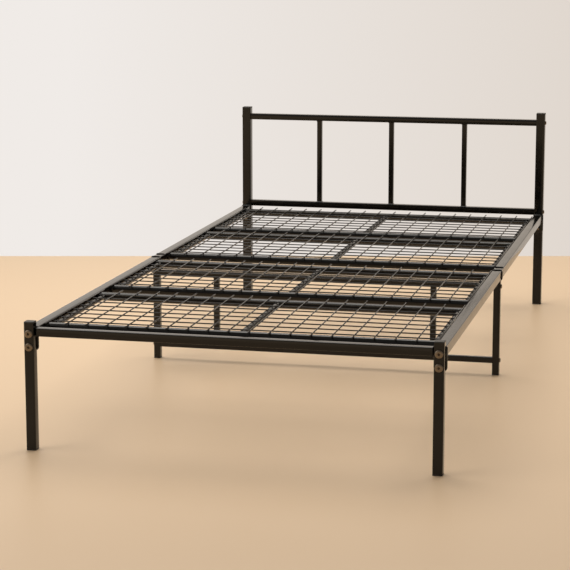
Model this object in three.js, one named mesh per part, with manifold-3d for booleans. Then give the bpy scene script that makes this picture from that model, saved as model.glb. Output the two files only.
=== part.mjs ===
// Knock-down single bed frame in powder-coated steel tube.
// Millimetres, +Z up, +Y towards the headboard, +X to the right seen from the foot.
// The origin is on the floor, in the middle of the frame's length and width.

import * as THREE from 'three';
import { mergeVertices } from 'three/addons/utils/BufferGeometryUtils.js';
import { ConvexGeometry } from 'three/addons/geometries/ConvexGeometry.js';
import Module from 'manifold-3d';

const wasm = await Module();
wasm.setup();

// ---------------------------------------------------------------- driving sizes

const frameWidth = 1000;        // over the outer faces of the side rails
const railTop = 296;            // top faces of the side rails above the floor
const seatClearance = 0.3;      // between a plug, stub or shank and what it sits in
const tubeBend = 1.6;           // outer corner radius of a square tube, in walls

// Side rails and the pieces that lie in line with them.
const railTube = 25;
const railWall = 1.2;
const frontRailLength = 1008;
const rearRailLength = 1005;
const plateThickness = 3;
const couplerLength = 43;       // between the two joint plates
const couplerStub = 40;         // length that slides into each rail
const couplerWall = 1.5;

// Plates welded on the rails' outer ends, bolted to the foot legs and head posts.
const endPlateWidth = 32;
const endPlateHeight = 58;
const endPlateCorner = 11;
const upperBoltDrop = 12.5;     // bolt axis below the rail top
const lowerBoltDrop = 44.5;

// Plates welded on the rails' inner ends, at the joint in the middle of the bed.
const jointPlateRise = 2.5;     // above the rail top
const nearPlateWidth = 31;
const nearPlateDrop = 4;        // below the rail
const nearPlateCorner = 8;
const farPlateCorner = 4;

// Foot legs.
const footLegTube = 24;
const footLegWall = 1.5;
const footLegTop = 309;
const footCapThickness = 3.3;

// Foot cross rail.
const footRailTube = 20;
const footRailWall = 1.2;
const footRailSetback = 9;      // from the legs' front faces

// Floor glides and caps.
const glideThickness = 4;
const plugDepth = 14;
const capCrown = 1.2;           // chamfer round the top of a cap

// Middle support.
const midLegTube = 19;
const midLegWall = 1.2;
const braceTube = 16;
const braceWall = 1.2;
const beamCentre = 249.5;
const stretcherCentre = 41.7;
const uprightOffset = 311;      // from the bed's centre line

// Headboard.
const postTube = 28;
const postWall = 1.5;
const postOverhang = 2;         // past a side rail's outer face
const postTop = 621.5;
const postCapThickness = 3.5;
const headRailTube = 19.5;
const headRailWall = 1.2;
const upperHeadRailDrop = 27.9; // centre below the posts' tops
const lowerHeadRailCentre = 304;
const spindleTube = 16;
const spindleWall = 1.2;
const spindlePitch = 241;

// Wire deck panels.
const wireThickness = 3.2;
const crossWires = 8;
const lengthWires = 20;
const wireEdge = 2.85;          // from a rail's inner face to the outer wire's centre
const crossWireEdge = 24.85;    // from a cross tube's centre to the first wire beside it
const wireOverhang = 28;        // past the cross tubes' centres
const deckDrop = 2.4;           // tube crests below the rail top
const weldSink = 0.3;           // how far welded pieces sink into each other
const crossTube = 22;
const crossTubeWall = 1.2;
const sideStringerTube = 13;
const centreStringerTube = 16;
const stringerWall = 1;
const sideStringerInset = 13;   // from a rail's inner face
const frontPanelGaps = [43.2, 52.4, 5.2];   // along a rail: before, between and after its two panels
const rearPanelGaps = [19.2, 41.4, 37.2];

// Fasteners.
const largeBolt = { shank: 8, headWidth: 19.5, headHeight: 4, socket: 6, nutWidth: 13, nutHeight: 6.5,
  threadEnd: 1.5 };
const smallBolt = { shank: 6, headWidth: 12, headHeight: 3.3, socket: 4, insertLength: 14 };
const socketDepth = 2;

// ---------------------------------------------------------------- derived places

const frameLength = footLegTube + postTube + 4 * plateThickness
  + frontRailLength + couplerLength + rearRailLength;
const footFace = -frameLength / 2;
const footPlateFace = footFace + footLegTube;
const frontRailStart = footPlateFace + plateThickness;
const nearPlateFace = frontRailStart + frontRailLength;
const couplerStart = nearPlateFace + plateThickness;
const farPlateFace = couplerStart + couplerLength;
const rearRailStart = farPlateFace + plateThickness;
const headPlateFace = rearRailStart + rearRailLength;
const postFace = headPlateFace + plateThickness;

const railCentreX = (frameWidth - railTube) / 2;
const railInnerX = frameWidth / 2 - railTube;
const railCentreZ = railTop - railTube / 2;
const railBottom = railTop - railTube;
const footLegCentreX = (frameWidth - footLegTube) / 2;
const plateCentreX = footLegCentreX;
const midLegCentreY = couplerStart + midLegTube / 2;
const midLegInnerX = railCentreX - midLegTube / 2;
const postWidth = frameWidth + 2 * postOverhang;
const postCentreX = (postWidth - postTube) / 2;
const postInnerX = postWidth / 2 - postTube;
const postCentreY = postFace + postTube / 2;
const upperHeadRailCentre = postTop - upperHeadRailDrop;
const deckWireLevel = railTop - deckDrop - weldSink;
const outerWireX = railInnerX - wireEdge;
const lengthWirePitch = 2 * outerWireX / (lengthWires - 1);

const sides = [{ name: 'left', sign: -1 }, { name: 'right', sign: 1 }];
const boltRows = [{ name: 'upper', drop: upperBoltDrop }, { name: 'lower', drop: lowerBoltDrop }];

// ---------------------------------------------------------------- materials

const powderCoat = new THREE.MeshStandardMaterial({ color: 0x1c1a18, roughness: 0.42, metalness: 0.1 });
const blackPlastic = new THREE.MeshStandardMaterial({ color: 0x141414, roughness: 0.6, metalness: 0 });
const bronzeSteel = new THREE.MeshStandardMaterial({ color: 0x5e4f43, roughness: 0.35, metalness: 0.9 });

// ---------------------------------------------------------------- shape helpers

function toSolid(geometry) {
  const bare = geometry.clone();
  bare.deleteAttribute('normal');
  bare.deleteAttribute('uv');
  const merged = mergeVertices(bare);
  return new wasm.Manifold(new wasm.Mesh({
    numProp: 3,
    vertProperties: new Float32Array(merged.attributes.position.array),
    triVerts: new Uint32Array(merged.index.array),
  }));
}

function toGeometry(solid) {
  const mesh = solid.getMesh();
  const geometry = new THREE.BufferGeometry();
  geometry.setAttribute('position', new THREE.BufferAttribute(mesh.vertProperties, 3));
  geometry.setIndex(new THREE.BufferAttribute(mesh.triVerts, 1));
  geometry.computeVertexNormals();
  return geometry;
}

function cut(geometry, ...tools) {
  return toGeometry(tools.reduce((solid, tool) => solid.subtract(toSolid(tool)), toSolid(geometry)));
}

function join(...geometries) {
  return toGeometry(geometries.map(toSolid).reduce((solid, next) => solid.add(next)));
}

// A closed outline with round corners, centred at (x, y).
function roundedOutline(path, width, height, radius, x = 0, y = 0) {
  const right = x + width / 2 - radius;
  const left = x - width / 2 + radius;
  const top = y + height / 2 - radius;
  const bottom = y - height / 2 + radius;
  path.absarc(right, top, radius, 0, Math.PI / 2, false);
  path.absarc(left, top, radius, Math.PI / 2, Math.PI, false);
  path.absarc(left, bottom, radius, Math.PI, 1.5 * Math.PI, false);
  path.absarc(right, bottom, radius, 1.5 * Math.PI, 2 * Math.PI, false);
  path.closePath();
  return path;
}

function boreOutline(size, wall) {
  const bore = size - 2 * wall;
  return roundedOutline(new THREE.Path(), bore, bore, (tubeBend - 1) * wall);
}

// A square tube standing on its lower end, along +Z.
function squareTube(size, wall, length) {
  const shape = roundedOutline(new THREE.Shape(), size, size, tubeBend * wall);
  shape.holes.push(boreOutline(size, wall));
  return new THREE.ExtrudeGeometry(shape, { depth: length, bevelEnabled: false, curveSegments: 1 });
}

// A square tube along X, centred.
function crossBar(size, wall, length) {
  return squareTube(size, wall, length).rotateY(Math.PI / 2).translate(-length / 2, 0, 0);
}

function block(width, depth, height) {
  return new THREE.BoxGeometry(width, depth, height);
}

// A bar of regular section with flats on its top and bottom, centred, along X.
function roundBarAlongX(width, length, facets) {
  const turn = Math.PI / facets;
  const radius = width / 2 / Math.cos(turn);
  return new THREE.CylinderGeometry(radius, radius, length, facets).rotateY(turn).rotateZ(Math.PI / 2);
}

// A drill along Y or X that leaves the seat clearance all round a bolt's shank.
function drill(bolt, length, direction) {
  const facets = 8;
  const radius = (bolt.shank / 2 + seatClearance) / Math.cos(Math.PI / facets);
  const tool = new THREE.CylinderGeometry(radius, radius, length, facets);
  return direction === 'x' ? tool.rotateZ(Math.PI / 2) : tool;
}

// A flat plate of the given outline; its face is on y = 0 and it lies towards +Y.
function plateOf(shape, curveSegments) {
  const settings = { depth: plateThickness, bevelEnabled: false, curveSegments };
  const plate = new THREE.ExtrudeGeometry(shape, settings);
  return plate.rotateX(Math.PI / 2).translate(0, plateThickness, 0);
}

function part(name, geometry, material, x, y, z) {
  const mesh = new THREE.Mesh(geometry, material);
  mesh.name = name;
  mesh.position.set(x, y, z);
  return mesh;
}

// ---------------------------------------------------------------- caps, glides and bolts

// A plug that fills a tube's bore, between two heights.
function plug(tubeSize, wall, low, high) {
  const width = tubeSize - 2 * wall - 2 * seatClearance;
  return block(width, width, high - low).translate(0, 0, (low + high) / 2);
}

// A square slab standing on z = 0, chamfered round its top.
function crownedSlab(size, thickness, chamfer) {
  const corners = [];
  for (const [inset, z] of [[0, 0], [0, thickness - chamfer], [chamfer, thickness]]) {
    const half = size / 2 - inset;
    for (const [x, y] of [[half, half], [-half, half], [-half, -half], [half, -half]]) {
      corners.push(new THREE.Vector3(x, y, z));
    }
  }
  return new ConvexGeometry(corners);
}

// A floor glide: its sole is on z = 0 and its plug points up into the tube.
function glide(tubeSize, wall) {
  const sole = block(tubeSize, tubeSize, glideThickness).translate(0, 0, glideThickness / 2);
  return join(sole, plug(tubeSize, wall, glideThickness / 2, glideThickness + plugDepth));
}

// A tube cap: its underside is on z = 0 and its plug points down into the tube.
function cap(tubeSize, wall, thickness) {
  return join(crownedSlab(tubeSize, thickness, capCrown), plug(tubeSize, wall, -plugDepth, thickness / 2));
}

// A hexagonal block along Y, measured across its flats.
function hexagon(width, height) {
  return new THREE.CylinderGeometry(width / Math.sqrt(3), width / Math.sqrt(3), height, 6);
}

// A button head with a hex socket and its shank, turned about Y; the head's underside is at y = 0.
function boltBody(bolt, shankLength) {
  const headRadius = bolt.headWidth / 2;
  const shankRadius = bolt.shank / 2;
  const profile = [
    new THREE.Vector2(0, -shankLength),
    new THREE.Vector2(shankRadius, -shankLength),
    new THREE.Vector2(shankRadius, 0),
    new THREE.Vector2(headRadius, 0),
    new THREE.Vector2(headRadius, bolt.headHeight * 0.35),
    new THREE.Vector2(headRadius * 0.7, bolt.headHeight),
    new THREE.Vector2(0, bolt.headHeight),
  ];
  const body = new THREE.LatheGeometry(profile, 12);
  return cut(body, hexagon(bolt.socket, 2 * socketDepth).translate(0, bolt.headHeight, 0));
}

// A bolt with its weld nut behind the plate it clamps.
function boltWithNut(bolt, grip) {
  const nut = hexagon(bolt.nutWidth, bolt.nutHeight).translate(0, -grip - bolt.nutHeight / 2, 0);
  return join(boltBody(bolt, grip + bolt.nutHeight + bolt.threadEnd), nut);
}

// A bolt with the threaded insert that sits in the end of a square tube.
function boltWithInsert(bolt, grip, tubeBore) {
  const width = tubeBore - 2 * seatClearance;
  const insert = block(width, bolt.insertLength, width);
  insert.translate(0, -grip - seatClearance - bolt.insertLength / 2, 0);
  return join(boltBody(bolt, grip + seatClearance + bolt.insertLength / 2), insert);
}

// ---------------------------------------------------------------- foot end

function endPlate() {
  const shape = new THREE.Shape();
  const half = endPlateWidth / 2;
  shape.moveTo(half, 0);
  shape.lineTo(-half, 0);
  shape.absarc(-half + endPlateCorner, -endPlateHeight + endPlateCorner, endPlateCorner,
    Math.PI, 1.5 * Math.PI, false);
  shape.absarc(half - endPlateCorner, -endPlateHeight + endPlateCorner, endPlateCorner,
    1.5 * Math.PI, 2 * Math.PI, false);
  shape.closePath();
  const holes = boltRows.map(({ drop }) =>
    drill(largeBolt, 4 * plateThickness, 'y').translate(0, 0, -drop));
  return cut(plateOf(shape, 3), ...holes);
}

function footEnd() {
  const group = new THREE.Group();
  for (const { name, sign } of sides) {
    const x = sign * footLegCentreX;
    const y = footFace + footLegTube / 2;
    const holes = boltRows.map(({ drop }) => drill(largeBolt, 2 * footLegTube, 'y')
      .translate(0, 0, railTop - drop - glideThickness));
    const leg = cut(squareTube(footLegTube, footLegWall, footLegTop - glideThickness), ...holes);
    group.add(part(`foot_leg_${name}`, leg, powderCoat, x, y, glideThickness));
    group.add(part(`foot_leg_glide_${name}`, glide(footLegTube, footLegWall), blackPlastic, x, y, 0));
    group.add(part(`foot_leg_cap_${name}`, cap(footLegTube, footLegWall, footCapThickness), blackPlastic,
      x, y, footLegTop));
    group.add(part(`foot_end_plate_${name}`, endPlate(), powderCoat,
      sign * plateCentreX, footPlateFace, railTop));
    for (const row of boltRows) {
      const bolt = boltWithNut(largeBolt, footLegTube + plateThickness).rotateX(Math.PI);
      group.add(part(`foot_bolt_${row.name}_${name}`, bolt, bronzeSteel, x, footFace, railTop - row.drop));
    }
  }
  const length = 2 * plateCentreX - endPlateWidth;
  const rail = crossBar(footRailTube, footRailWall, length);
  const railY = footFace + footRailSetback + footRailTube / 2;
  group.add(part('foot_cross_rail', rail, powderCoat, 0, railY, railTop - footRailTube / 2));
  return group;
}

// ---------------------------------------------------------------- side rails and their joint

function sideRail(length) {
  return squareTube(railTube, railWall, length).rotateX(-Math.PI / 2);
}

// A plate with a square window for the coupler's stub; its origin is the rail's axis.
function jointPlate(width, drop, corner) {
  const height = railTube + jointPlateRise + drop;
  const middle = (jointPlateRise - drop) / 2;
  const shape = roundedOutline(new THREE.Shape(), width, height, corner, 0, middle);
  shape.holes.push(boreOutline(railTube, railWall));
  return plateOf(shape, 2);
}

// A short length of rail tube with a smaller stub that runs through it into both rails.
function coupler() {
  const stubSize = railTube - 2 * railWall - 2 * seatClearance;
  const stubReach = plateThickness + couplerStub;
  const bore = stubSize - 2 * couplerWall;
  const stubLength = couplerLength + 2 * stubReach;
  const sleeve = block(railTube, couplerLength, railTube).translate(0, couplerLength / 2, 0);
  const stub = block(stubSize, stubLength, stubSize).translate(0, couplerLength / 2, 0);
  const hollow = block(bore, 2 * stubLength, bore).translate(0, couplerLength / 2, 0);
  return toGeometry(toSolid(sleeve).add(toSolid(stub)).subtract(toSolid(hollow)));
}

function sideRails() {
  const group = new THREE.Group();
  for (const { name, sign } of sides) {
    const x = sign * railCentreX;
    group.add(part(`side_rail_front_${name}`, sideRail(frontRailLength), powderCoat,
      x, frontRailStart, railCentreZ));
    group.add(part(`side_rail_rear_${name}`, sideRail(rearRailLength), powderCoat,
      x, rearRailStart, railCentreZ));
    const nearPlate = jointPlate(nearPlateWidth, nearPlateDrop, nearPlateCorner);
    group.add(part(`joint_plate_front_${name}`, nearPlate, powderCoat, x, nearPlateFace, railCentreZ));
    const farPlate = jointPlate(railTube, 0, farPlateCorner);
    group.add(part(`joint_plate_rear_${name}`, farPlate, powderCoat, x, farPlateFace, railCentreZ));
    group.add(part(`rail_coupler_${name}`, coupler(), powderCoat, x, couplerStart, railCentreZ));
  }
  return group;
}

// ---------------------------------------------------------------- wire deck

// Two cross tubes, three stringers and a welded mesh. The wires along the bed lie on the tubes'
// crests, and the wires across it run between the tubes, under those wires and on the stringers.
// The panel's middle is the origin, and z = 0 is the plane where the wires meet.
function deckPanel(panelLength) {
  const tubeLength = 2 * railInnerX;
  const tubeY = panelLength / 2 - wireOverhang;
  const stringerX = railInnerX - sideStringerInset;
  const stringerTop = weldSink - wireThickness;
  const wireHalf = Math.fround(wireThickness / 2);   // in single precision, so that the wires' faces meet
  const outer = [];
  const bores = [];
  for (const y of [-tubeY, tubeY]) {
    const z = weldSink - crossTube / 2;
    outer.push(roundBarAlongX(crossTube, tubeLength, 12).translate(0, y, z));
    bores.push(roundBarAlongX(crossTube - 2 * crossTubeWall, tubeLength + crossTube, 8).translate(0, y, z));
  }
  const stringers = [[-stringerX, sideStringerTube], [0, centreStringerTube], [stringerX, sideStringerTube]];
  for (const [x, width] of stringers) {
    const z = stringerTop - width / 2;
    const bar = roundBarAlongX(width, 2 * tubeY, 8).rotateZ(Math.PI / 2);
    const bore = roundBarAlongX(width - 2 * stringerWall, 2 * tubeY, 6).rotateZ(Math.PI / 2);
    outer.push(bar.translate(x, 0, z));
    bores.push(bore.translate(x, 0, z));
  }
  const wires = [];
  const firstRowY = crossWireEdge - tubeY;
  const rowPitch = -2 * firstRowY / (crossWires - 1);
  for (let row = 0; row < crossWires; row += 1) {
    const wire = block(2 * outerWireX + wireThickness, wireThickness, wireThickness);
    wires.push(wire.translate(0, firstRowY + row * rowPitch, -wireHalf));
  }
  for (let column = 0; column < lengthWires; column += 1) {
    const wire = block(wireThickness, panelLength, wireThickness);
    wires.push(wire.translate(column * lengthWirePitch - outerWireX, 0, wireHalf));
  }
  const unite = (pieces) => pieces.map(toSolid).reduce((solid, next) => solid.add(next));
  return toGeometry(unite(outer).subtract(unite(bores)).add(unite(wires)));
}

// The length and the centres of the two panels between a rail's ends.
function panelPlaces(railStart, railLength, [before, between, after]) {
  const length = (railLength - before - between - after) / 2;
  const first = railStart + before + length / 2;
  return [{ y: first, length }, { y: first + length + between, length }];
}

function wireDeck() {
  const group = new THREE.Group();
  const panels = [
    ...panelPlaces(frontRailStart, frontRailLength, frontPanelGaps),
    ...panelPlaces(rearRailStart, rearRailLength, rearPanelGaps),
  ];
  panels.forEach(({ y, length }, index) => {
    group.add(part(`deck_panel_${index + 1}`, deckPanel(length), powderCoat, 0, y, deckWireLevel));
  });
  return group;
}

// ---------------------------------------------------------------- middle support

function midSupport() {
  const group = new THREE.Group();
  const levels = [{ name: 'beam', z: beamCentre }, { name: 'stretcher', z: stretcherCentre }];
  for (const { name, sign } of sides) {
    const x = sign * railCentreX;
    const holes = levels.map(({ z }) => drill(smallBolt, 2 * midLegTube, 'x')
      .translate(0, 0, z - glideThickness));
    const leg = cut(squareTube(midLegTube, midLegWall, railBottom - glideThickness), ...holes);
    group.add(part(`mid_leg_${name}`, leg, powderCoat, x, midLegCentreY, glideThickness));
    group.add(part(`mid_leg_glide_${name}`, glide(midLegTube, midLegWall), blackPlastic,
      x, midLegCentreY, 0));
    for (const level of levels) {
      const bolt = boltWithInsert(smallBolt, midLegTube, braceTube - 2 * braceWall);
      bolt.rotateZ(-sign * Math.PI / 2);
      group.add(part(`mid_${level.name}_bolt_${name}`, bolt, bronzeSteel,
        sign * (railCentreX + midLegTube / 2), midLegCentreY, level.z));
    }
    const uprightBase = stretcherCentre + braceTube / 2;
    const upright = squareTube(braceTube, braceWall, beamCentre - braceTube / 2 - uprightBase);
    group.add(part(`mid_upright_${name}`, upright, powderCoat,
      sign * uprightOffset, midLegCentreY, uprightBase));
  }
  for (const level of levels) {
    const bar = crossBar(braceTube, braceWall, 2 * midLegInnerX);
    group.add(part(`mid_${level.name}`, bar, powderCoat, 0, midLegCentreY, level.z));
  }
  return group;
}

// ---------------------------------------------------------------- headboard

function headboard() {
  const group = new THREE.Group();
  const rails = [{ name: 'upper', z: upperHeadRailCentre }, { name: 'lower', z: lowerHeadRailCentre }];
  for (const { name, sign } of sides) {
    const x = sign * postCentreX;
    const plateX = sign * plateCentreX;
    const sideHoles = rails.map(({ z }) => drill(smallBolt, 2 * postTube, 'x')
      .translate(0, 0, z - glideThickness));
    const backHoles = boltRows.map(({ drop }) => drill(largeBolt, 2 * postTube, 'y')
      .translate(plateX - x, 0, railTop - drop - glideThickness));
    const post = cut(squareTube(postTube, postWall, postTop - glideThickness), ...sideHoles, ...backHoles);
    group.add(part(`head_post_${name}`, post, powderCoat, x, postCentreY, glideThickness));
    group.add(part(`head_post_glide_${name}`, glide(postTube, postWall), blackPlastic, x, postCentreY, 0));
    group.add(part(`head_post_cap_${name}`, cap(postTube, postWall, postCapThickness), blackPlastic,
      x, postCentreY, postTop));
    group.add(part(`head_end_plate_${name}`, endPlate(), powderCoat, plateX, headPlateFace, railTop));
    for (const row of boltRows) {
      const bolt = boltWithNut(largeBolt, postTube + plateThickness);
      group.add(part(`head_bolt_${row.name}_${name}`, bolt, bronzeSteel,
        plateX, postFace + postTube, railTop - row.drop));
    }
    for (const rail of rails) {
      const bolt = boltWithInsert(smallBolt, postTube, headRailTube - 2 * headRailWall);
      bolt.rotateZ(-sign * Math.PI / 2);
      group.add(part(`headboard_bolt_${rail.name}_${name}`, bolt, bronzeSteel,
        sign * postWidth / 2, postCentreY, rail.z));
    }
  }
  for (const rail of rails) {
    const bar = crossBar(headRailTube, headRailWall, 2 * postInnerX);
    group.add(part(`headboard_rail_${rail.name}`, bar, powderCoat, 0, postCentreY, rail.z));
  }
  const spindleBase = lowerHeadRailCentre + headRailTube / 2;
  const spindleLength = upperHeadRailCentre - headRailTube / 2 - spindleBase;
  ['left', 'centre', 'right'].forEach((name, index) => {
    const spindle = squareTube(spindleTube, spindleWall, spindleLength);
    group.add(part(`headboard_spindle_${name}`, spindle, powderCoat,
      (index - 1) * spindlePitch, postCentreY, spindleBase));
  });
  return group;
}

// ---------------------------------------------------------------- the whole frame

const bedFrame = new THREE.Group();
bedFrame.add(footEnd(), sideRails(), wireDeck(), midSupport(), headboard());

export default bedFrame;
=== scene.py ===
"""Knock-down single bed frame in black powder-coated steel tube, dressed for a soft studio.

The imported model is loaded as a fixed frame. Every tube, plate, cap, bolt and wire is then modelled
finely in the same place, and the plain body that it stands for is hidden.
"""

import logging
import math
from collections.abc import Callable, Iterable
from dataclasses import dataclass
from enum import Enum

import bmesh
import bpy
from bmesh.types import BMEdge, BMFace
from bpy.types import Material, Node, NodeSocket, NodeTree, Object
from mathutils import Matrix, Vector


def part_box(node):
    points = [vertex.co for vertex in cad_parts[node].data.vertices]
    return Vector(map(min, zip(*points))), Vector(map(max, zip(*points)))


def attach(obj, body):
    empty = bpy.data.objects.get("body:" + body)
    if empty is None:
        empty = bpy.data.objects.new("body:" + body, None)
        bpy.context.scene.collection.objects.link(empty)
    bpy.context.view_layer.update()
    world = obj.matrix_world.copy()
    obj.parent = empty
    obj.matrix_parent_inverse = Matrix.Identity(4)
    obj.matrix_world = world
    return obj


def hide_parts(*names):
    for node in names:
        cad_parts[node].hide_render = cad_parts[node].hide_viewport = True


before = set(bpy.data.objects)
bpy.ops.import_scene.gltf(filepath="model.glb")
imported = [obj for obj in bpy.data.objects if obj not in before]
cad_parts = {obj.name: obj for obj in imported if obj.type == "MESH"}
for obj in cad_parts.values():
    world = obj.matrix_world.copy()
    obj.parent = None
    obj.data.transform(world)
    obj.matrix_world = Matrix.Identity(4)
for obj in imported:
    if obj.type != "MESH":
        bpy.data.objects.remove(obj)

logging.basicConfig(level=logging.INFO, format="%(message)s")
LOG = logging.getLogger("bed_frame")

MM = 0.001
ROOT = "root"
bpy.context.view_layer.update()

SIDES = {"left": -1, "right": 1}
ROWS = ("upper", "lower")
FACING = 0.99       # cosine past which an edge or a face's normal counts as lying along an axis
TUBE_BEND = 1.6     # a square tube's outer corner radius, in walls
BEND_STEPS = 5      # faces round such a corner
HEX_SIDES = 6


class Axis(Enum):
    """The direction that a straight piece runs in."""

    X = 0
    Y = 1
    Z = 2

    @property
    def unit(self) -> Vector:
        """The direction as a vector of length one."""
        return Vector([float(self.value == i) for i in range(3)])

    @property
    def turn(self) -> tuple[float, float, float]:
        """The turn that lays an upright bar along the direction."""
        return ((0, math.pi / 2, 0), (-math.pi / 2, 0, 0), (0, 0, 0))[self.value]


class Finish(Enum):
    """The finishes that the frame's pieces can have, with the record's slot for each."""

    COAT = "powder_coat"
    WELD = "powder_coat_weld"
    PLASTIC = "black_plastic"
    BRONZE = "bronze_hardware"

    @property
    def slot(self) -> str:
        """The record's material slot."""
        return "powder_coat" if self is Finish.WELD else self.value


# -------------------- node helpers


def linear(code: str) -> tuple[float, float, float, float]:
    """Turns an sRGB hex colour into linear values.

    Args:
        code: A colour such as "#1b1917".

    Returns:
        Red, green, blue and an alpha of one.
    """
    parts = (int(code[i : i + 2], 16) / 255 for i in (1, 3, 5))
    red, green, blue = (p / 12.92 if p <= 0.04045 else ((p + 0.055) / 1.055) ** 2.4 for p in parts)
    return red, green, blue, 1.0


def add_node(tree: NodeTree, kind: str, values: dict[str | int, object] | None = None,
             **settings: object) -> Node:
    """Adds one node with its settings, its input values and its links.

    Args:
        tree: The node tree that takes the node.
        kind: The node's type name.
        values: Input name or number to a value, or to an output socket that is linked to it.
        **settings: Attributes of the node, such as operation.

    Returns:
        The new node.
    """
    node = tree.nodes.new(kind)
    for name, value in settings.items():
        setattr(node, name, value)
    for name, value in (values or {}).items():
        if isinstance(value, NodeSocket):
            tree.links.new(value, node.inputs[name])
        else:
            node.inputs[name].default_value = value
    return node


def new_material(name: str) -> tuple[Material, NodeTree]:
    """Makes an empty node material.

    Args:
        name: The material's name.

    Returns:
        The material and its node tree.
    """
    material = bpy.data.materials.new(name)
    material.use_nodes = True
    material.node_tree.nodes.clear()
    return material, material.node_tree


# -------------------- finishes


@dataclass(frozen=True)
class PowderCoat:
    """Black polyester powder coat: dry powder melted on the steel, so it flows to a soft gloss.

    The eye sees a deep warm black face on, a clear pale sheen at a low angle, and a fine
    orange-peel that breaks the edges of reflections.
    """

    name: str = "black_powder_coat"
    colour: str = "#070604"
    thin_colour: str = "#0c0a07"
    roughness: tuple[float, float] = (0.1, 0.17)
    specular: float = 0.41
    flow_mm: float = 55.0
    flow_span: tuple[float, float] = (0.3, 0.7)
    peel_mm: float = 1.8
    peel_depth_mm: float = 0.012
    ripple_mm: float = 0.0
    ripple_depth_mm: float = 0.25

    def build(self) -> Material:
        """Makes the material.

        Returns:
            The coat, with a weld's ripples under it where it has them.
        """
        material, tree = new_material(self.name)
        place = add_node(tree, "ShaderNodeTexCoord").outputs["Object"]
        flow = add_node(tree, "ShaderNodeTexNoise", {
            "Vector": place, "Scale": 1 / (self.flow_mm * MM), "Detail": 3.0})
        tone = add_node(tree, "ShaderNodeMix", {
            "Factor": flow.outputs["Fac"], "A": linear(self.colour), "B": linear(self.thin_colour)},
            data_type="RGBA")
        gloss = add_node(tree, "ShaderNodeMapRange", {
            "Value": flow.outputs["Fac"], "From Min": self.flow_span[0], "From Max": self.flow_span[1],
            "To Min": self.roughness[0], "To Max": self.roughness[1]})
        peel = add_node(tree, "ShaderNodeTexNoise", {
            "Vector": place, "Scale": 1 / (self.peel_mm * MM), "Detail": 2.0, "Roughness": 0.4})
        bump = add_node(tree, "ShaderNodeBump", {
            "Height": peel.outputs["Fac"], "Strength": 0.5, "Distance": self.peel_depth_mm * MM})
        if self.ripple_mm:
            ripple = add_node(tree, "ShaderNodeTexVoronoi", {
                "Vector": place, "Scale": 1 / (self.ripple_mm * MM)})
            bump = add_node(tree, "ShaderNodeBump", {
                "Height": ripple.outputs["Distance"], "Strength": 0.7,
                "Distance": self.ripple_depth_mm * MM, "Normal": bump.outputs["Normal"]})
        shader = add_node(tree, "ShaderNodeBsdfPrincipled", {
            "Base Color": tone.outputs["Result"], "Roughness": gloss.outputs["Result"], "IOR": 1.5,
            "Specular IOR Level": self.specular, "Normal": bump.outputs["Normal"]})
        add_node(tree, "ShaderNodeOutputMaterial", {"Surface": shader.outputs["BSDF"]})
        return material


@dataclass(frozen=True)
class MouldedPlastic:
    """Black polyethylene, injection moulded: a waxy low sheen over a fine spark-eroded grain."""

    name: str = "black_polyethylene"
    colour: str = "#191817"
    worn_colour: str = "#24221f"
    roughness: tuple[float, float] = (0.42, 0.56)
    cloud_mm: float = 9.0
    grain_mm: float = 0.7           # about three times the real grain, so that it shows
    grain_depth_mm: float = 0.02

    def build(self) -> Material:
        """Makes the material.

        Returns:
            The plastic, a little paler and duller where hands and floors have rubbed it.
        """
        material, tree = new_material(self.name)
        place = add_node(tree, "ShaderNodeTexCoord").outputs["Object"]
        cloud = add_node(tree, "ShaderNodeTexNoise", {
            "Vector": place, "Scale": 1 / (self.cloud_mm * MM), "Detail": 2.0})
        tone = add_node(tree, "ShaderNodeMix", {
            "Factor": cloud.outputs["Fac"], "A": linear(self.colour), "B": linear(self.worn_colour)},
            data_type="RGBA")
        gloss = add_node(tree, "ShaderNodeMapRange", {
            "Value": cloud.outputs["Fac"], "To Min": self.roughness[0], "To Max": self.roughness[1]})
        grain = add_node(tree, "ShaderNodeTexNoise", {"Vector": place, "Scale": 1 / (self.grain_mm * MM)})
        bump = add_node(tree, "ShaderNodeBump", {
            "Height": grain.outputs["Fac"], "Strength": 0.5, "Distance": self.grain_depth_mm * MM})
        shader = add_node(tree, "ShaderNodeBsdfPrincipled", {
            "Base Color": tone.outputs["Result"], "Roughness": gloss.outputs["Result"], "IOR": 1.51,
            "Normal": bump.outputs["Normal"]})
        add_node(tree, "ShaderNodeOutputMaterial", {"Surface": shader.outputs["BSDF"]})
        return material


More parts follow.
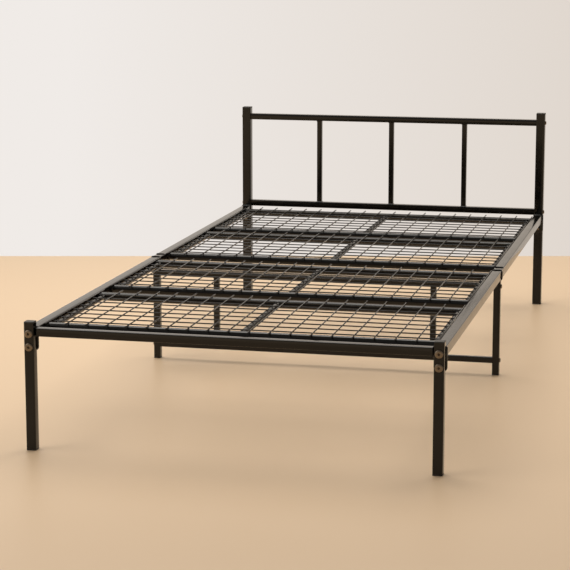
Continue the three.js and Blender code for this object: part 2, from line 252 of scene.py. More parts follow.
@dataclass(frozen=True)
class BronzePlate:
    """Steel screws plated an antique bronze: a grey-brown metal, cloudy where the bath was uneven.

    The eye sees a soft shine on the dome, and a recess darkened with painted shade.
    """

    name: str = "bronze_plated_steel"
    colour: str = "#9c8f7e"
    dark_colour: str = "#605448"
    roughness: tuple[float, float] = (0.42, 0.26)
    cloud_mm: float = 3.5
    # painted shade: the colour is darkened in recesses, found by ambient occlusion within recess_mm
    recess_mm: float = 4.0
    recess_span: tuple[float, float] = (0.45, 0.9)
    painted_recess_shade: float = 0.12
    turning_mm: float = 0.5         # lathe marks, coarser than the real ones, so that they show
    turning_depth_mm: float = 0.02

    def build(self) -> Material:
        """Makes the material.

        Returns:
            The plating, darkened in a recess with painted shade.
        """
        material, tree = new_material(self.name)
        place = add_node(tree, "ShaderNodeTexCoord").outputs["Object"]
        cloud = add_node(tree, "ShaderNodeTexNoise", {
            "Vector": place, "Scale": 1 / (self.cloud_mm * MM), "Detail": 4.0})
        tone = add_node(tree, "ShaderNodeMix", {
            "Factor": cloud.outputs["Fac"], "A": linear(self.dark_colour), "B": linear(self.colour)},
            data_type="RGBA")
        # painted shade: ambient occlusion scales the base colour down in the screw's socket
        openness = add_node(tree, "ShaderNodeAmbientOcclusion", {"Distance": self.recess_mm * MM})
        reach = add_node(tree, "ShaderNodeMapRange", {
            "Value": openness.outputs["AO"], "From Min": self.recess_span[0],
            "From Max": self.recess_span[1], "To Min": self.painted_recess_shade})
        plating_with_painted_shade = add_node(tree, "ShaderNodeVectorMath", {
            0: tone.outputs["Result"], "Scale": reach.outputs["Result"]}, operation="SCALE")
        gloss = add_node(tree, "ShaderNodeMapRange", {
            "Value": cloud.outputs["Fac"], "To Min": self.roughness[0], "To Max": self.roughness[1]})
        turning = add_node(tree, "ShaderNodeTexNoise", {
            "Vector": place, "Scale": 1 / (self.turning_mm * MM)})
        bump = add_node(tree, "ShaderNodeBump", {
            "Height": turning.outputs["Fac"], "Strength": 0.4, "Distance": self.turning_depth_mm * MM})
        shader = add_node(tree, "ShaderNodeBsdfPrincipled", {
            "Base Color": plating_with_painted_shade.outputs["Vector"], "Metallic": 1.0,
            "Roughness": gloss.outputs["Result"], "Normal": bump.outputs["Normal"]})
        add_node(tree, "ShaderNodeOutputMaterial", {"Surface": shader.outputs["BSDF"]})
        return material


Finishes = dict[Finish, Material]


def build_finishes() -> Finishes:
    """Makes every finish once.

    Returns:
        Each finish and its material.
    """
    over_weld = PowderCoat(name="powder_coat_on_weld", roughness=(0.18, 0.28), ripple_mm=2.2)
    return {
        Finish.COAT: PowderCoat().build(),
        Finish.WELD: over_weld.build(),
        Finish.PLASTIC: MouldedPlastic().build(),
        Finish.BRONZE: BronzePlate().build(),
    }


# -------------------- modelling bench


def deselect_all() -> None:
    """Clears the selection, so that an operator acts on the new piece alone."""
    bpy.ops.object.select_all(action="DESELECT")


def make_active(obj: Object) -> None:
    """Selects one object alone and makes it the active one.

    Args:
        obj: The object.
    """
    deselect_all()
    obj.select_set(True)
    bpy.context.view_layer.objects.active = obj


def freeze(obj: Object) -> None:
    """Puts an object's place, turn and scale into its mesh."""
    make_active(obj)
    bpy.ops.object.transform_apply(location=True, rotation=True, scale=True)


def edit(obj: Object, mode: str) -> None:
    """Opens edit mode with nothing selected.

    Args:
        obj: The piece to edit.
        mode: VERT, EDGE or FACE.
    """
    make_active(obj)
    bpy.ops.object.mode_set(mode="EDIT")
    bpy.ops.mesh.select_mode(type=mode)
    bpy.ops.mesh.select_all(action="DESELECT")


def leave_edit() -> None:
    """Goes back to object mode."""
    bpy.ops.object.mode_set(mode="OBJECT")


def pick_faces(obj: Object, wanted: Callable[[BMFace], bool]) -> None:
    """Selects in edit mode the faces that pass a test.

    Args:
        obj: The piece being edited.
        wanted: The test.
    """
    mesh = bmesh.from_edit_mesh(obj.data)
    for face in mesh.faces:
        face.select_set(wanted(face))
    bmesh.update_edit_mesh(obj.data)


def pick_edges(obj: Object, wanted: Callable[[BMEdge], bool]) -> None:
    """Selects in edit mode the edges that pass a test.

    Args:
        obj: The piece being edited.
        wanted: The test.
    """
    mesh = bmesh.from_edit_mesh(obj.data)
    for edge in mesh.edges:
        edge.select_set(wanted(edge))
    bmesh.update_edit_mesh(obj.data)


def runs_along(edge: BMEdge, axis: Axis) -> bool:
    """Whether an edge lies along an axis."""
    way = edge.verts[1].co - edge.verts[0].co
    return abs(way[axis.value]) > FACING * way.length


def smooth(obj: Object, degrees: float = 35.0) -> None:
    """Shades a piece smooth, but for edges sharper than an angle."""
    make_active(obj)
    bpy.ops.object.shade_smooth_by_angle(angle=math.radians(degrees))


def apply_modifier(obj: Object, kind: str, **settings: object) -> None:
    """Adds a modifier and applies it.

    Args:
        obj: The piece to change.
        kind: The modifier's type name.
        **settings: Attributes of the modifier.
    """
    make_active(obj)
    modifier = obj.modifiers.new(kind.lower(), kind)
    for name, value in settings.items():
        setattr(modifier, name, value)
    bpy.ops.object.modifier_apply(modifier=modifier.name)


def soften(obj: Object, width: float, segments: int, degrees: float) -> None:
    """Bevels the edges that are sharper than an angle.

    Args:
        obj: The piece to soften.
        width: The bevel's width.
        segments: The faces across it.
        degrees: The angle.
    """
    apply_modifier(obj, "BEVEL", width=width, segments=segments, limit_method="ANGLE",
                   angle_limit=math.radians(degrees))


def round_edges(obj: Object, wanted: Callable[[BMEdge], bool], radius: float, segments: int) -> None:
    """Rounds the edges that pass a test.

    Args:
        obj: The piece to round.
        wanted: The test.
        radius: The radius.
        segments: The faces round it.
    """
    edit(obj, "EDGE")
    pick_edges(obj, wanted)
    bpy.ops.mesh.bevel(offset=radius, segments=segments, affect="EDGES")
    leave_edit()


def join(name: str, pieces: list[Object]) -> Object:
    """Joins pieces into one object.

    Args:
        name: The joined piece's name.
        pieces: The pieces, the first of which takes the others in.

    Returns:
        The joined piece.
    """
    deselect_all()
    for piece in pieces:
        piece.select_set(True)
    bpy.context.view_layer.objects.active = pieces[0]
    if len(pieces) > 1:
        bpy.ops.object.join()
    pieces[0].name = name
    return pieces[0]


def block(name: str, low: Vector, high: Vector) -> Object:
    """Adds a block between two corners.

    Args:
        name: The block's name.
        low: Its lowest corner.
        high: Its highest corner.

    Returns:
        The block, with its place in its mesh.
    """
    deselect_all()
    bpy.ops.mesh.primitive_cube_add(size=1, location=(low + high) / 2, scale=high - low)
    obj = bpy.context.object
    obj.name = name
    freeze(obj)
    return obj


def round_bar(name: str, start: Vector, axis: Axis, length: float, radius: float, sides: int) -> Object:
    """Adds a solid round bar.

    Args:
        name: The bar's name.
        start: The centre of its first end.
        axis: The way it runs.
        length: Its length.
        radius: Its radius.
        sides: The number of faces round it.

    Returns:
        The bar, with its place in its mesh.
    """
    deselect_all()
    bpy.ops.mesh.primitive_cylinder_add(vertices=sides, radius=radius, depth=length,
                                        location=start + axis.unit * length / 2, rotation=axis.turn)
    obj = bpy.context.object
    obj.name = name
    freeze(obj)
    return obj


def bore(obj: Object, axis: Axis, wall: float) -> None:
    """Hollows a bar from end to end.

    Args:
        obj: The bar.
        axis: The way it runs.
        wall: The wall that is left.
    """
    edit(obj, "FACE")
    pick_faces(obj, lambda face: abs(face.normal[axis.value]) > FACING)
    bpy.ops.mesh.inset(thickness=wall)
    bpy.ops.mesh.bridge_edge_loops()
    bpy.ops.mesh.select_all(action="SELECT")
    bpy.ops.mesh.normals_make_consistent(inside=False)
    leave_edit()


def square_tube(name: str, low: Vector, high: Vector, axis: Axis, wall: float,
                bend: float = TUBE_BEND) -> Object:
    """Makes a length of square tube with round corners and an open bore.

    Args:
        name: The tube's name.
        low: Its lowest corner.
        high: Its highest corner.
        axis: The way it runs.
        wall: Its wall.
        bend: The outer corner radius, in walls.

    Returns:
        The tube.
    """
    obj = block(name, low, high)
    round_edges(obj, lambda edge: runs_along(edge, axis), bend * wall, BEND_STEPS)
    bore(obj, axis, wall)
    smooth(obj)
    return obj


def stand_on(foot: Vector, way: Vector) -> Matrix:
    """Works out the matrix that takes a piece from the origin, where it points up, to a foot and a way."""
    return Matrix.Translation(foot) @ Axis.Z.unit.rotation_difference(way).to_matrix().to_4x4()


def raise_top(obj: Object, height: float, shrink: float) -> None:
    """Extrudes the selected top face upwards in edit mode and shrinks it about its middle.

    Args:
        obj: The piece being edited.
        height: How far the face goes along its normal.
        shrink: The scale given to it there.
    """
    mesh = bmesh.from_edit_mesh(obj.data)
    face = next(face for face in mesh.faces if face.select)
    step = face.normal * height
    middle = face.calc_center_median() + step
    bpy.ops.mesh.extrude_region_move(TRANSFORM_OT_translate={"value": step})
    bpy.ops.transform.resize(value=(shrink, shrink, shrink), center_override=middle)


def dress(obj: Object, finish: Finish, materials: Finishes, stands_for: Iterable[str] = ()) -> None:
    """Gives a piece its finish, its body and the plain bodies that it stands for.

    Args:
        obj: The finished piece.
        finish: Its finish.
        materials: The materials of the finishes.
        stands_for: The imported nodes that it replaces.
    """
    obj.data.materials.clear()
    obj.data.materials.append(materials[finish])
    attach(obj, ROOT)
    if stands_for:
        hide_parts(*stands_for)
    LOG.info("%s: %d faces, %s", obj.name, len(obj.data.polygons), finish.value)


# -------------------- welds


@dataclass
class Weld:
    """A fillet weld round the end of a tube, where it meets another piece."""

    foot: Vector                    # where the tube's centre line meets the other piece
    way: Vector                     # the way that the tube goes from there
    across: float                   # the tube's width
    leg: tuple[float, float]        # how far the weld spreads beside the tube, in two directions
    height: float
    is_round: bool = False
    edge: float = 0.3 * MM          # the thickness of its outer edge
    soft_edge: float = 0.25 * MM
    sides: int = 28
    steps: int = 4

    def build(self) -> Object:
        """Makes the weld as a low concave collar.

        Returns:
            The collar. Its foot lies on the piece that the tube meets.
        """
        deselect_all()
        if self.is_round:
            bpy.ops.mesh.primitive_cylinder_add(vertices=self.sides, radius=0.5, depth=1)
        else:
            bpy.ops.mesh.primitive_cube_add(size=1)
        obj = bpy.context.object
        width = self.across + 2 * self.leg[0]
        obj.scale = (width, self.across + 2 * self.leg[1], self.edge)
        obj.location = (0, 0, self.edge / 2)
        freeze(obj)
        edit(obj, "FACE")
        pick_faces(obj, lambda face: face.normal.z > FACING)
        for step in range(1, self.steps + 1):
            rest = (1 - step / self.steps) ** 2
            wanted = self.across + 2 * self.leg[0] * rest
            raise_top(obj, (self.height - self.edge) / self.steps, wanted / width)
            width = wanted
        leave_edit()
        soften(obj, self.soft_edge, segments=2, degrees=50)
        obj.data.transform(stand_on(self.foot, self.way))
        smooth(obj, degrees=60)
        return obj


def weld_run(name: str, welds: list[Weld], materials: Finishes) -> None:
    """Makes the welds of one sub-assembly as one piece.

    Args:
        name: The piece's name.
        welds: The welds.
        materials: The materials of the finishes.
    """
    dress(join(name, [weld.build() for weld in welds]), Finish.WELD, materials)


# -------------------- fasteners


@dataclass
class Screw:
    """A button-head screw with a hex socket, and the painted weld nut that it may be turned into."""

    head_width: float
    head_height: float
    socket: float                   # across its flats
    shank: float
    nut_width: float = 0.0          # across its flats, and zero for a screw with no weld nut
    nut_height: float = 6.5 * MM
    rim_share: float = 0.35         # of the head's height, upright at its rim
    crown_share: float = 0.62       # of the head's width, flat on its top
    crown_steps: int = 5
    socket_share: float = 0.85      # of the head's height
    rim_edge: float = 0.2 * MM
    nut_edge: float = 0.5 * MM
    sides: int = 48
    shank_sides: int = 24
    seat_overlap: float = 0.2 * MM
    master: Object | None = None

    def model(self) -> None:
        """Models the head that is copied to each place, with its underside on z = 0 and its socket up."""
        rim = self.rim_share * self.head_height
        head = round_bar("screw_head", Vector(), Axis.Z, rim, self.head_width / 2, self.sides)
        edit(head, "FACE")
        pick_faces(head, lambda face: face.normal.z > FACING)
        width = 1.0
        rise = self.head_height - rim
        part_turn = math.pi / 2 / self.crown_steps
        for step in range(1, self.crown_steps + 1):
            angle = step * part_turn
            wanted = self.crown_share + (1 - self.crown_share) * math.cos(angle)
            raise_top(head, rise * (math.sin(angle) - math.sin(angle - part_turn)), wanted / width)
            width = wanted
        leave_edit()
        soften(head, self.rim_edge, segments=2, degrees=50)
        floor = self.head_height * (1 - self.socket_share)
        key = round_bar("key", Vector((0, 0, floor)), Axis.Z, self.head_height,
                        self.socket / math.sqrt(3), HEX_SIDES)
        apply_modifier(head, "BOOLEAN", operation="DIFFERENCE", object=key, solver="EXACT")
        bpy.data.objects.remove(key)
        smooth(head, degrees=40)
        self.master = head

    def place(self, name: str, node: str, way: Vector, materials: Finishes, grip: float = 0.0) -> None:
        """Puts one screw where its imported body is.

        Args:
            name: The screw's name.
            node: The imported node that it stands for.
            way: The way its head points.
            materials: The materials of the finishes.
            grip: The thickness between the head and the nut, where it has a nut.
        """
        low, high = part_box(node)
        middle = (low + high) / 2
        axis = max(range(3), key=lambda i: abs(way[i]))
        seat = middle.copy()
        seat[axis] = (high if way[axis] > 0 else low)[axis] - way[axis] * self.head_height
        head = self.master.copy()
        head.data = self.master.data.copy()
        bpy.context.collection.objects.link(head)
        length = (high - low)[axis] - self.head_height
        shank = round_bar("shank", Vector((0, 0, -length)), Axis.Z, length + self.seat_overlap,
                          self.shank / 2, self.shank_sides)
        screw = join(name, [head, shank])
        place = stand_on(seat, way)
        screw.data.transform(place)
        dress(screw, Finish.BRONZE, materials, [node])
        if not self.nut_width:
            return
        nut = round_bar(f"{name}_nut", Vector((0, 0, -grip - self.nut_height)), Axis.Z, self.nut_height,
                        self.nut_width / math.sqrt(3), HEX_SIDES)
        soften(nut, self.nut_edge, segments=2, degrees=80)
        smooth(nut, degrees=30)
        nut.data.transform(place)
        dress(nut, Finish.COAT, materials)


# -------------------- sub-assemblies


@dataclass
class Sub:
    """What the sub-assemblies share: the finishes, and the sizes and making of the pieces they have alike."""

    materials: Finishes
    plate_corner: float = 11 * MM
    plate_rim: float = 0.5 * MM
    rail_wall: float = 1.2 * MM
    weld_height: float = 2.2 * MM
    cap_crown: float = 1.3 * MM
    glide_sole: float = 4 * MM
    glide_edge: float = 0.8 * MM
    plug_play: float = 0.3 * MM

    def tube(self, node: str, axis: Axis, wall: float) -> None:
        """Makes a square tube in the place of a packed one."""
        low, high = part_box(node)
        dress(square_tube(f"{node}_tube", low, high, axis, wall), Finish.COAT, self.materials, [node])

    def cap(self, node: str, tube_node: str, wall: float) -> None:
        """Makes a crowned plastic cap on the top of a tube.

        Args:
            node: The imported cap.
            tube_node: The tube that it closes.
            wall: The tube's wall.
        """
        low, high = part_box(node)
        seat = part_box(tube_node)[1].z
        obj = self.moulding(node, Vector((low.x, low.y, seat)), high, wall, way=1, edge=self.cap_crown,
                            segments=4)
        self.add_plug(obj, -1, wall, seat - low.z)
        dress(obj, Finish.PLASTIC, self.materials, [node])

    def glide(self, node: str, wall: float) -> None:
        """Makes a floor glide under a leg.

        Args:
            node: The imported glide.
            wall: The leg's wall.
        """
        low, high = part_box(node)
        top = low.z + self.glide_sole
        obj = self.moulding(node, low, Vector((high.x, high.y, top)), wall, way=-1, edge=self.glide_edge,
                            segments=3)
        self.add_plug(obj, 1, wall, high.z - top)
        dress(obj, Finish.PLASTIC, self.materials, [node])

    def moulding(self, node: str, low: Vector, high: Vector, wall: float, way: int, edge: float,
                 segments: int) -> Object:
        """Makes the seen part of a cap or glide, which is flush with the tube that it closes.

        Args:
            node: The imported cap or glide.
            low: Its lowest corner.
            high: Its highest corner.
            wall: The tube's wall.
            way: One if its rounded face points up, minus one if it points down.
            edge: The radius of that face's edge.
            segments: The faces round the edge.

        Returns:
            The moulding, without its plug.
        """
        obj = block(f"{node}_moulding", low, high)
        round_edges(obj, lambda side: runs_along(side, Axis.Z), TUBE_BEND * wall, BEND_STEPS)
        edit(obj, "EDGE")
        pick_faces(obj, lambda face: face.normal.z * way > FACING)
        bpy.ops.mesh.region_to_loop()
        bpy.ops.mesh.bevel(offset=edge, segments=segments, affect="EDGES")
        leave_edit()
        return obj

    def add_plug(self, obj: Object, way: int, wall: float, depth: float) -> None:
        """Grows the plug that holds a cap or glide in its tube.

        Args:
            obj: The moulding, with a flat face on the tube's end.
            way: One if the plug points up, minus one if it points down.
            wall: The tube's wall.
            depth: The plug's length.
        """
        edit(obj, "FACE")
        pick_faces(obj, lambda face: face.normal.z * way > FACING)
        bpy.ops.mesh.inset(thickness=wall + self.plug_play)
        bpy.ops.mesh.extrude_region_move(TRANSFORM_OT_translate={"value": (0, 0, way * depth)})
        leave_edit()
        smooth(obj, degrees=45)

    def end_plate(self, node: str) -> None:
        """Makes the plate that a leg or post is screwed to, with its lower corners rounded.

        Args:
            node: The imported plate.
        """
        middle = sum(corner.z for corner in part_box(node)) / 2
        self.plate(node, lambda edge: runs_along(edge, Axis.Y) and edge.verts[0].co.z < middle,
                   radius=self.plate_corner, segments=12)

    def plate(self, node: str, corners: Callable[[BMEdge], bool], radius: float, segments: int) -> None:
        """Makes a flat plate with round corners and a softened rim.

        Args:
            node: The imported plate.
            corners: The test of the edges that are its round corners.
            radius: Their radius.
            segments: The faces round a corner.
        """
        obj = block(f"{node}_plate", *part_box(node))
        round_edges(obj, corners, radius, segments)
        soften(obj, self.plate_rim, segments=3, degrees=60)
        smooth(obj)
        dress(obj, Finish.COAT, self.materials, [node])

    def end_welds(self, node: str, axis: Axis, ends: Iterable[int], leg: tuple[float, float]) -> list[Weld]:
        """Places the welds round the ends of a packed square tube.

        Args:
            node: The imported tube.
            axis: The way it runs.
            ends: Its welded ends: zero is the low one and one is the high one.
            leg: How far a weld spreads beside the tube, in two directions.

        Returns:
            The welds.
        """
        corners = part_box(node)
        width = min(corners[1] - corners[0])
        welds = []
        for end in ends:
            foot = (corners[0] + corners[1]) / 2
            foot[axis.value] = corners[end][axis.value]
            welds.append(Weld(foot, (-1 if end else 1) * axis.unit, width, leg, self.weld_height))
        return welds


@dataclass
class FootEnd(Sub):
    """The two foot legs, screwed to plates, and the cross rail between the plates."""

    leg_wall: float = 1.5 * MM
    grip: float = 27 * MM
    weld_leg: tuple[float, float] = (0.6 * MM, 0.6 * MM)
    screw: Screw | None = None

    def build(self) -> None:
        """Builds the foot end."""
        for side in SIDES:
            leg = f"foot_leg_{side}"
            self.tube(leg, Axis.Z, self.leg_wall)
            self.cap(f"foot_leg_cap_{side}", leg, self.leg_wall)
            self.glide(f"foot_leg_glide_{side}", self.leg_wall)
            self.end_plate(f"foot_end_plate_{side}")
            for row in ROWS:
                self.screw.place(f"foot_screw_{row}_{side}", f"foot_bolt_{row}_{side}", -Axis.Y.unit,
                                 self.materials, self.grip)
        rail = "foot_cross_rail"
        self.tube(rail, Axis.X, self.rail_wall)
        weld_run("foot_rail_welds", self.end_welds(rail, Axis.X, (0, 1), self.weld_leg), self.materials)


@dataclass
class SideRails(Sub):
    """The side rails of both halves, their joint plates and the couplers that slide into them."""

    coupler_wall: float = 1.5 * MM
    stub_bend: float = 0.6
    corners: tuple[tuple[str, float], ...] = (("front", 8 * MM), ("rear", 4 * MM))
    weld_leg: tuple[float, float] = (1.6 * MM, 1.6 * MM)

    def joint_plate(self, node: str, corner: float) -> None:
        """Makes a plate on a rail's inner end."""
        self.plate(node, lambda edge: runs_along(edge, Axis.Y), radius=corner, segments=8)

    def coupler(self, side: str) -> None:
        """Makes a coupler: a short sleeve on a stub that runs into both rails.

        Args:
            side: The side of the bed.
        """
        node = f"rail_coupler_{side}"
        low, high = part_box(node)
        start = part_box(f"joint_plate_front_{side}")[1].y
        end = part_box(f"joint_plate_rear_{side}")[0].y
        sleeve = square_tube("sleeve", Vector((low.x, start, low.z)), Vector((high.x, end, high.z)), Axis.Y,
                             self.coupler_wall)
        inset = Vector((1, 0, 1)) * (self.rail_wall + self.plug_play)
        stub = square_tube("stub", low + inset, high - inset, Axis.Y, self.coupler_wall, self.stub_bend)
        dress(join(f"{node}_piece", [sleeve, stub]), Finish.COAT, self.materials, [node])

    def build(self) -> None:
        """Builds the rails from the foot to the head."""
        for side in SIDES:
            welds = []
            for half, outer_end in (("front", 0), ("rear", 1)):
                node = f"side_rail_{half}_{side}"
                self.tube(node, Axis.Y, self.rail_wall)
                welds += self.end_welds(node, Axis.Y, (outer_end,), self.weld_leg)
            for half, corner in self.corners:
                self.joint_plate(f"joint_plate_{half}_{side}", corner)
            self.coupler(side)
            weld_run(f"side_rail_welds_{side}", welds, self.materials)


@dataclass
class WireDeck(Sub):
    """The four welded panels of the deck: cross tubes, stringers and a mesh of round wires."""

    cross_radius: float = 11 * MM
    pipe_wall: float = 1.2 * MM
    side_stringer_radius: float = 6.5 * MM
    centre_stringer_radius: float = 8 * MM
    stringer_inset: float = 13 * MM
    wire_radius: float = 1.6 * MM
    cross_wires: int = 8
    length_wires: int = 20
    wire_edge: float = 2.85 * MM
    row_edge: float = 24.85 * MM
    overhang: float = 28 * MM
    weld_sink: float = 0.3 * MM
    wire_sides: int = 12
    wire_edge_round: float = 0.3 * MM
    pipe_sides: int = 40
    stringer_overlap: float = 2 * MM
    weld_overlap: float = 0.8 * MM
    cross_weld_leg: float = 1 * MM
    stringer_weld_leg: float = 1.2 * MM
    weld_height: float = 2.6 * MM
    panels: tuple[int, ...] = (1, 2, 3, 4)

    def mesh(self, name: str, low: Vector, high: Vector, crest: float) -> Object:
        """Makes one welded mesh of round wires, with the wires across the bed under the others.

        Args:
            name: The mesh's name.
            low: The panel's lowest corner.
            high: The panel's highest corner.
            crest: The height of the cross tubes' crests.

        Returns:
            The mesh.
        """
        edge = high.x - self.wire_edge
        first = low.y + self.overhang + self.row_edge
        last = high.y - self.overhang - self.row_edge
        reach = edge + self.wire_radius
        across = round_bar("across", Vector((-reach, first, crest - self.wire_radius)), Axis.X,
                           2 * reach, self.wire_radius, self.wire_sides)
        level = crest + self.wire_radius - self.weld_sink
        along = round_bar("along", Vector((-edge, low.y, level)), Axis.Y, high.y - low.y,
                          self.wire_radius, self.wire_sides)
        row_step = (last - first) / (self.cross_wires - 1)
        column_step = 2 * edge / (self.length_wires - 1)
        for wire, count, step in ((across, self.cross_wires, (0, row_step, 0)),
                                  (along, self.length_wires, (column_step, 0, 0))):
            soften(wire, self.wire_edge_round, segments=2, degrees=60)
            smooth(wire, degrees=40)
            apply_modifier(wire, "ARRAY", count=count, use_relative_offset=False,
                           use_constant_offset=True, constant_offset_displace=step)
        return join(name, [across, along])

    def pipe(self, name: str, start: Vector, axis: Axis, length: float, radius: float, leg: float,
             inset: float = 0.0) -> list[Weld]:
        """Makes a round tube with an open bore.

        Args:
            name: The tube's name.
            start: The centre of its first end.
            axis: The way it runs.
            length: Its length.
            radius: Its radius.
            leg: How far a weld spreads beside it.
            inset: How far in from its ends the welds stand.

        Returns:
            The welds round its ends.
        """
        obj = round_bar(name, start, axis, length, radius, self.pipe_sides)
        bore(obj, axis, self.pipe_wall)
        smooth(obj)
        dress(obj, Finish.COAT, self.materials)
        return [Weld(start + axis.unit * place, way * axis.unit, 2 * radius, (leg, leg), self.weld_height,
                     is_round=True)
                for place, way in ((inset, 1), (length - inset, -1))]

    def cross_tubes(self, number: int, low: Vector, high: Vector) -> list[Weld]:
        """Makes the two tubes across the bed that carry one panel.

        Args:
            number: The panel's number, from the foot.
            low: The panel's lowest corner.
            high: The panel's highest corner.

        Returns:
            The welds at their ends.
        """
        welds = []
        for end, y in (("near", low.y + self.overhang), ("far", high.y - self.overhang)):
            start = Vector((low.x, y, low.z + self.cross_radius))
            welds += self.pipe(f"deck_{number}_cross_tube_{end}", start, Axis.X, high.x - low.x,
                               self.cross_radius, self.cross_weld_leg)
        return welds

    def stringers(self, number: int, low: Vector, high: Vector, crest: float) -> list[Weld]:
        """Makes the three thinner tubes along the bed, between the cross tubes of one panel.

        Args:
            number: The panel's number, from the foot.
            low: The panel's lowest corner.
            high: The panel's highest corner.
            crest: The height of the cross tubes' crests.

        Returns:
            The welds at their ends.
        """
        welds = []
        inner = self.overhang + self.cross_radius - self.stringer_overlap
        length = high.y - low.y - 2 * inner
        offset = high.x - self.stringer_inset
        for side, x, radius in (("left", -offset, self.side_stringer_radius),
                                ("centre", 0.0, self.centre_stringer_radius),
                                ("right", offset, self.side_stringer_radius)):
            start = Vector((x, low.y + inner, crest - 2 * self.wire_radius - radius))
            welds += self.pipe(f"deck_{number}_stringer_{side}", start, Axis.Y, length, radius,
                               self.stringer_weld_leg, self.stringer_overlap - self.weld_overlap)
        return welds

    def build(self) -> None:
        """Builds the four panels."""
        for number in self.panels:
            node = f"deck_panel_{number}"
            low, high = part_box(node)
            crest = low.z + 2 * self.cross_radius
            welds = self.cross_tubes(number, low, high) + self.stringers(number, low, high, crest)
            mesh = self.mesh(f"deck_{number}_wire_mesh", low, high, crest)
            dress(mesh, Finish.COAT, self.materials, [node])
            weld_run(f"deck_{number}_welds", welds, self.materials)


@dataclass
class MiddleSupport(Sub):
    """The two middle legs under the rails' joint, and the braced frame between them."""

    wall: float = 1.2 * MM
    leg_weld: tuple[float, float] = (1.8 * MM, 1.8 * MM)
    upright_weld: tuple[float, float] = (2.2 * MM, 0.0)
    weld_height: float = 3 * MM
    screw: Screw | None = None

    def build(self) -> None:
        """Builds the middle support."""
        welds = []
        for side, sign in SIDES.items():
            leg, upright = f"mid_leg_{side}", f"mid_upright_{side}"
            self.tube(leg, Axis.Z, self.wall)
            self.glide(f"mid_leg_glide_{side}", self.wall)
            self.tube(upright, Axis.Z, self.wall)
            for level in ("beam", "stretcher"):
                self.screw.place(f"mid_{level}_screw_{side}", f"mid_{level}_bolt_{side}",
                                 sign * Axis.X.unit, self.materials)
            welds += self.end_welds(leg, Axis.Z, (1,), self.leg_weld)
            welds += self.end_welds(upright, Axis.Z, (0, 1), self.upright_weld)
        for level in ("beam", "stretcher"):
            self.tube(f"mid_{level}", Axis.X, self.wall)
        weld_run("middle_support_welds", welds, self.materials)


@dataclass
class Headboard(Sub):
    """The two head posts, the rails between them and the upright spindles."""

    post_wall: float = 1.5 * MM
    wall: float = 1.2 * MM
    grip: float = 31 * MM
    weld_leg: tuple[float, float] = (1.6 * MM, 1.6 * MM)
    weld_height: float = 2.6 * MM
    screw: Screw | None = None
    plate_screw: Screw | None = None

    def build(self) -> None:
        """Builds the headboard."""
        for side, sign in SIDES.items():
            post = f"head_post_{side}"
            self.tube(post, Axis.Z, self.post_wall)
            self.cap(f"head_post_cap_{side}", post, self.post_wall)
            self.glide(f"head_post_glide_{side}", self.post_wall)
            self.end_plate(f"head_end_plate_{side}")
            for row in ROWS:
                self.screw.place(f"headboard_screw_{row}_{side}", f"headboard_bolt_{row}_{side}",
                                 sign * Axis.X.unit, self.materials)
                self.plate_screw.place(f"head_screw_{row}_{side}", f"head_bolt_{row}_{side}",
                                       Axis.Y.unit, self.materials, self.grip)
        for row in ROWS:
            self.tube(f"headboard_rail_{row}", Axis.X, self.wall)
        welds = []
        for place in ("left", "centre", "right"):
            node = f"headboard_spindle_{place}"
            self.tube(node, Axis.Z, self.wall)
            welds += self.end_welds(node, Axis.Z, (0, 1), self.weld_leg)
        weld_run("headboard_welds", welds, self.materials)


# -------------------- studio


@dataclass(frozen=True)
class Lamp:
    """A large soft lamp, which points at the middle of the bed."""

    name: str
    place: tuple[float, float, float]
    size: tuple[float, float]
    watts: float
    colour: str

    def build(self, target: Vector) -> None:
        """Adds the lamp.

        Args:
            target: The point that it faces.
        """
        data = bpy.data.lights.new(self.name, "AREA")
        data.shape = "RECTANGLE"
        data.size, data.size_y = self.size
        data.energy = self.watts
        data.color = linear(self.colour)[:3]
        obj = bpy.data.objects.new(self.name, data)
        obj.location = self.place
        obj.rotation_euler = (target - obj.location).to_track_quat("-Z", "Y").to_euler()
        bpy.context.collection.objects.link(obj)


